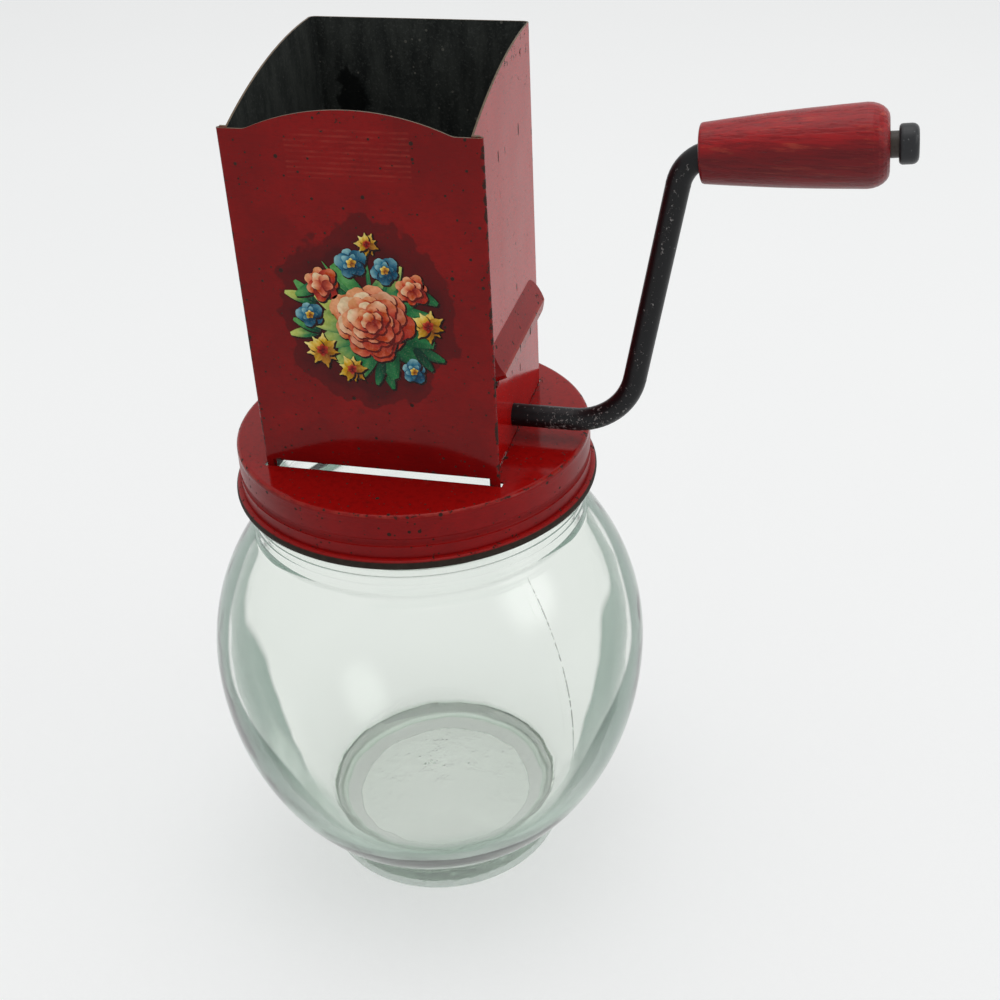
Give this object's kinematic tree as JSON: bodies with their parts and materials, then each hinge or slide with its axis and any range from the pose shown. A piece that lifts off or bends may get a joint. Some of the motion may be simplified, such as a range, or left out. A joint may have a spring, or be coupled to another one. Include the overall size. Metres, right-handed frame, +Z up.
{
  "type": "hand crank nut grinder",
  "caption": "Hand crank nut grinder: a red tin hopper with sloping combs and hooked cutters on a screw lid, over a round glass jar, turned by a bent rod with a tapered wooden grip.",
  "frame": {"origin": "middle of the jar's foot, on the plane it stands on", "axes": "+Z up along the jar, -Y out of the hopper's front panel, +X towards the crank"},
  "size_m": [0.1373, 0.0928, 0.1785],
  "materials": {
    "glass": "clear, slightly green",
    "red_paint": "gloss",
    "liner": "matt",
    "bright_steel": "worn tin plate",
    "dark_steel": "satin black, worn",
    "painted_wood": "satin paint"
  },
  "bodies": {
    "jar": {"jar": "glass"},
    "liner": {"lid_liner": "liner"},
    "lid": {"lid_cap": "red_paint", "hopper_body": "red_paint", "front_panel": "red_paint", "front_comb": "bright_steel", "rear_comb": "bright_steel"},
    "crank": {"crank_rod": "dark_steel", "cutter_1": "bright_steel", "cutter_2": "bright_steel", "cutter_3": "bright_steel", "cutter_4": "bright_steel", "cutter_5": "bright_steel", "cutter_6": "bright_steel", "spacer_1": "bright_steel", "spacer_2": "bright_steel", "spacer_3": "bright_steel", "spacer_4": "bright_steel", "spacer_5": "bright_steel", "end_spacer_left": "bright_steel", "end_spacer_right": "bright_steel", "thrust_washer_left": "bright_steel", "thrust_washer_right": "bright_steel", "push_nut": "bright_steel", "cap_nut": "dark_steel"},
    "grip": {"grip": "painted_wood"}
  },
  "joints": [
    {"name": "lid_lift", "type": "slide", "parent": "jar", "child": "liner", "axis": [0, 0, 1], "range_m": [0, 0.0064]},
    {"name": "lid_turn", "type": "hinge", "parent": "liner", "child": "lid", "pos_m": [0, 0, 0.1052], "axis": [0, 0, 1], "range_deg": [0, 450]},
    {"name": "crank_turn", "type": "hinge", "parent": "lid", "child": "crank", "pos_m": [0.0212, -0.00262, 0.1099], "axis": [1, 0, 0], "continuous": true},
    {"name": "grip_spin", "type": "hinge", "parent": "crank", "child": "grip", "pos_m": [0.07282, -0.00262, 0.16468], "axis": [0.9959, 0, 0.0906], "continuous": true}
  ],
  "couplings": [
    {"joint": "lid_lift", "follows": "lid_turn", "m_per_rad": 0.00080851}
  ]
}
